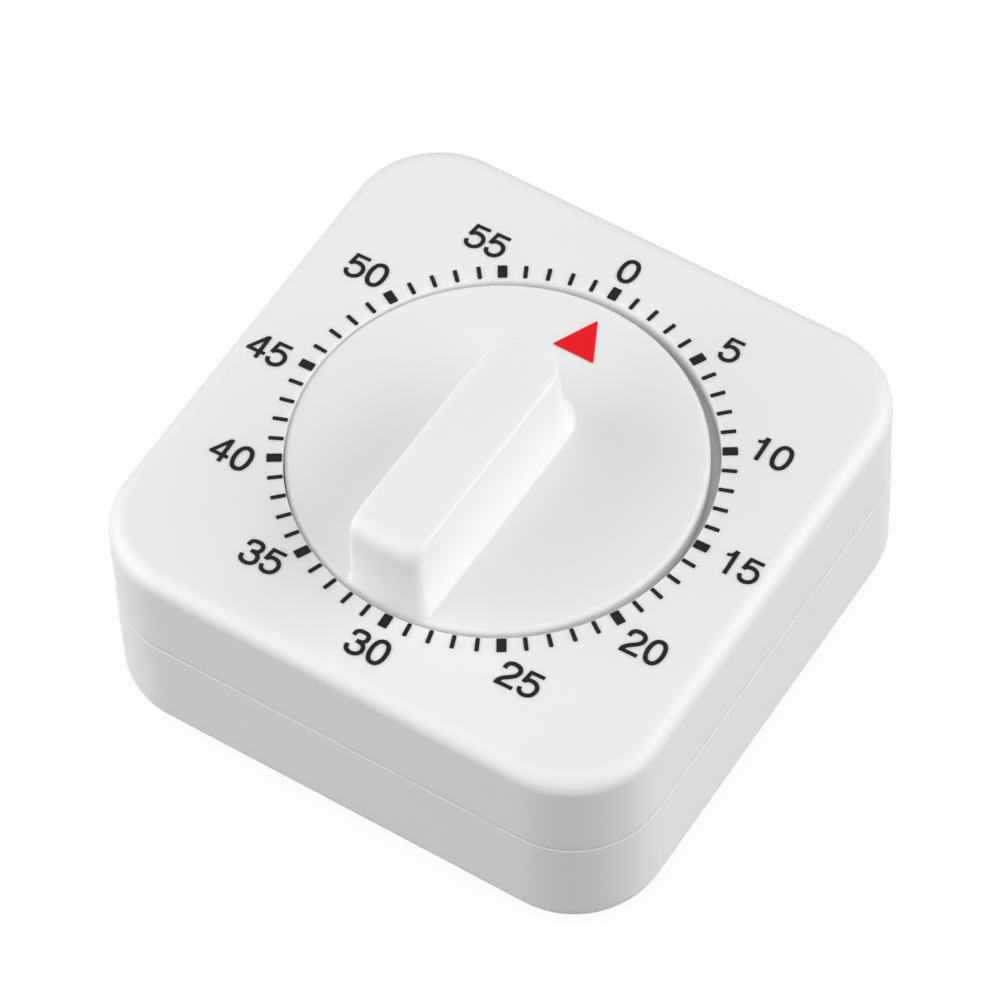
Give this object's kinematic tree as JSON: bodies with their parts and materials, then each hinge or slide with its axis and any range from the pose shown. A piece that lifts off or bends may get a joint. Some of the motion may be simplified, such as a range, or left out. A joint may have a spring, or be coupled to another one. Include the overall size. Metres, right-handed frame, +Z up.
{
  "type": "wind-up kitchen timer",
  "caption": "Square white case with a printed minute dial round a turning disc with a bar grip, wound by hand and driven by a spring movement with a bell inside.",
  "frame": {"origin": "middle of the case's underside", "axes": "+Z up through the knob, +Y towards the dial's 0, +X towards its 15"},
  "size_m": [0.06, 0.06, 0.035],
  "materials": {
    "white_abs": "white moulded plastic, satin to glossy",
    "black_ink": "flat black print",
    "red_ink": "flat red print",
    "brass": "stamped and rolled",
    "steel": "turned",
    "zinc_steel": "bright zinc plate",
    "spring_steel": "blued strip",
    "bell_steel": "nickel plate"
  },
  "bodies": {
    "case": {"top_cover": "white_abs", "base_cover": "white_abs", "case_screws": "zinc_steel", "minute_scale": "black_ink", "top_plate": "brass", "bottom_plate": "brass", "plate_pillars": "steel", "plate_screws": "zinc_steel", "movement_screws": "zinc_steel", "mainspring": "spring_steel", "spring_post": "steel", "hammer_cock": "brass", "bell": "bell_steel", "bell_post": "steel", "bell_screw": "zinc_steel"},
    "knob": {"knob": "white_abs", "pointer_mark": "red_ink", "main_arbor": "steel", "clutch_washer": "spring_steel", "clutch_collar": "brass", "stop_cam": "brass"},
    "main_wheel": {"main_wheel": "brass"},
    "second_wheel": {"second_arbor": "steel", "second_wheel": "brass", "strike_wheel": "brass"},
    "third_wheel": {"third_arbor": "steel", "third_wheel": "brass"},
    "escape_wheel": {"escape_arbor": "steel", "escape_wheel": "brass"},
    "pallet": {"pallet_arbor": "steel", "pallet_anchor": "brass", "pallet_pins": "steel", "balance_bar": "brass"},
    "release_lever": {"lever_arbor": "steel", "release_lever": "brass", "blocking_arm": "brass"},
    "hammer": {"hammer_arbor": "steel", "hammer_verge": "brass", "verge_pins": "steel", "hammer_tail": "brass", "hammer_arm": "brass", "hammer_head": "steel"}
  },
  "joints": [
    {"name": "knob_turn", "type": "hinge", "parent": "case", "child": "knob", "pos_m": [-0.00025, 0, 0.0168], "axis": [0, 0, -1], "range_deg": [0, 354], "deforming": ["mainspring"]},
    {"name": "main_wheel_turn", "type": "hinge", "parent": "case", "child": "main_wheel", "pos_m": [-0.00025, 0, 0.0168], "axis": [0, 0, 1], "continuous": true},
    {"name": "second_wheel_turn", "type": "hinge", "parent": "case", "child": "second_wheel", "pos_m": [-0.01265, -0.00451, 0.0168], "axis": [0, 0, 1], "continuous": true},
    {"name": "third_wheel_turn", "type": "hinge", "parent": "case", "child": "third_wheel", "pos_m": [-0.00754, -0.01311, 0.0168], "axis": [0, 0, 1], "continuous": true},
    {"name": "escape_wheel_turn", "type": "hinge", "parent": "case", "child": "escape_wheel", "pos_m": [0.00001, -0.0155, 0.0168], "axis": [0, 0, 1], "continuous": true},
    {"name": "pallet_swing", "type": "hinge", "parent": "case", "child": "pallet", "pos_m": [0.00575, -0.01537, 0.0168], "axis": [0, 0, 1], "range_deg": [-10, 10]},
    {"name": "release_swing", "type": "hinge", "parent": "case", "child": "release_lever", "pos_m": [-0.01225, 0.0083, 0.0168], "axis": [0, 0, -1], "range_deg": [0, 6]},
    {"name": "hammer_swing", "type": "hinge", "parent": "case", "child": "hammer", "pos_m": [-0.01618, -0.00147, 0.0168], "axis": [0, 0, 1], "range_deg": [-7, 7]}
  ],
  "couplings": [
    {"joint": "third_wheel_turn", "follows": "escape_wheel_turn", "ratio": -0.125},
    {"joint": "second_wheel_turn", "follows": "escape_wheel_turn", "ratio": 0.013889},
    {"joint": "main_wheel_turn", "follows": "escape_wheel_turn", "ratio": -0.0013889}
  ]
}
